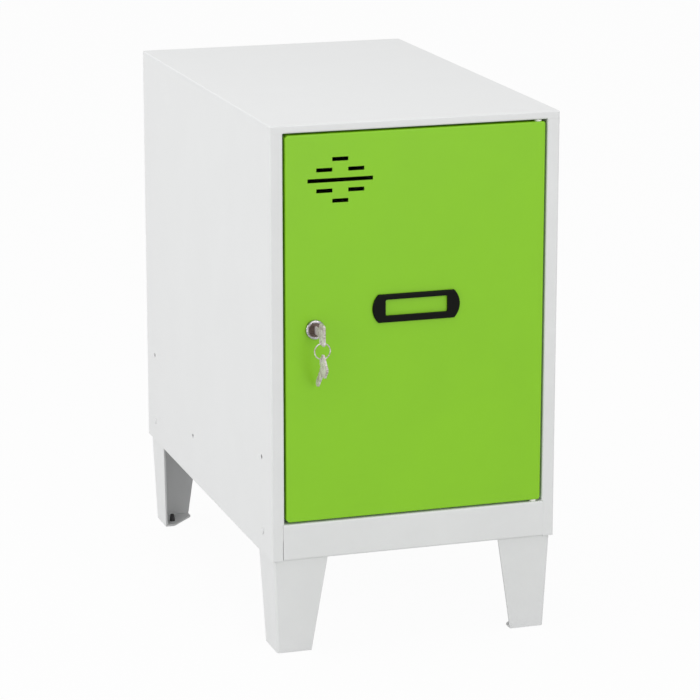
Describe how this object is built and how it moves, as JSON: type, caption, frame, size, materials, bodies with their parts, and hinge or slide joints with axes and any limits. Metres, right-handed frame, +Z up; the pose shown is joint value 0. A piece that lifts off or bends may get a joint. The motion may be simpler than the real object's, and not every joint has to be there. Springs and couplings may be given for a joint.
{
  "type": "single-door steel locker",
  "caption": "Small free-standing steel locker on folded legs, with a pivot-hinged door, cam lock with keys on a ring, label holder and vent slots.",
  "frame": {"origin": "on the floor, under the middle of the whole object's box at rest; the cabinet's own middle lies a little behind it because the keys stand out in front", "axes": "+X to the right seen from the front, +Y from the front face to the back, +Z up"},
  "size_m": [0.3018, 0.5418, 0.54],
  "materials": {
    "body_paint": "light grey powder coat, semi-gloss, very fine orange peel",
    "door_paint": "lime green powder coat, semi-gloss",
    "plated_steel": "bright zinc plate",
    "chrome": "polished nickel-chrome plate",
    "key_steel": "nickel-plated stamped steel",
    "white_nylon": "white moulded nylon",
    "black_plastic": "black moulded plastic, satin",
    "dark_rubber": "dark grey soft plastic"
  },
  "bodies": {
    "cabinet": {"side_panel_left": "body_paint", "side_panel_right": "body_paint", "top_panel": "body_paint", "floor_panel": "body_paint", "back_panel": "body_paint", "body_rivets": "body_paint", "leg_bolts": "plated_steel", "leg_nuts": "plated_steel", "hinge_pin_top": "plated_steel", "hinge_pin_bottom": "plated_steel", "door_buffers": "dark_rubber", "leg_front_left": "body_paint", "leg_front_right": "body_paint", "leg_rear_left": "body_paint", "leg_rear_right": "body_paint", "foot_plug_front_left": "dark_rubber", "foot_plug_front_right": "dark_rubber", "foot_plug_rear_left": "dark_rubber", "foot_plug_rear_right": "dark_rubber"},
    "door": {"door_panel": "door_paint", "door_stiffener": "door_paint", "hinge_bush_top": "white_nylon", "hinge_bush_bottom": "white_nylon", "label_frame": "black_plastic", "lock_housing": "chrome", "lock_nut": "plated_steel"},
    "lock": {"lock_plug": "chrome", "lock_cam": "plated_steel", "cam_screw": "plated_steel"},
    "key": {"key": "key_steel"},
    "ring": {"key_ring": "key_steel"},
    "spare": {"spare_key": "key_steel"}
  },
  "joints": [
    {"name": "door_hinge", "type": "hinge", "parent": "cabinet", "child": "door", "pos_m": [0.1283, -0.22446, 0.33475], "axis": [0, 0, 1], "range_deg": [0, 110]},
    {"name": "lock_turn", "type": "hinge", "parent": "door", "child": "lock", "pos_m": [-0.105, -0.22906, 0.336], "axis": [0, -1, 0], "range_deg": [0, 90]},
    {"name": "key_slide", "type": "slide", "parent": "lock", "child": "key", "axis": [0, -1, 0], "range_m": [0, 0.012]},
    {"name": "ring_swing", "type": "hinge", "parent": "key", "child": "ring", "pos_m": [-0.105, -0.25456, 0.32775], "axis": [-1, 0, 0], "range_deg": [-2, 45]},
    {"name": "spare_key_swing", "type": "hinge", "parent": "ring", "child": "spare", "pos_m": [-0.105, -0.25456, 0.31175], "axis": [-1, 0, 0], "range_deg": [-2, 45]}
  ]
}
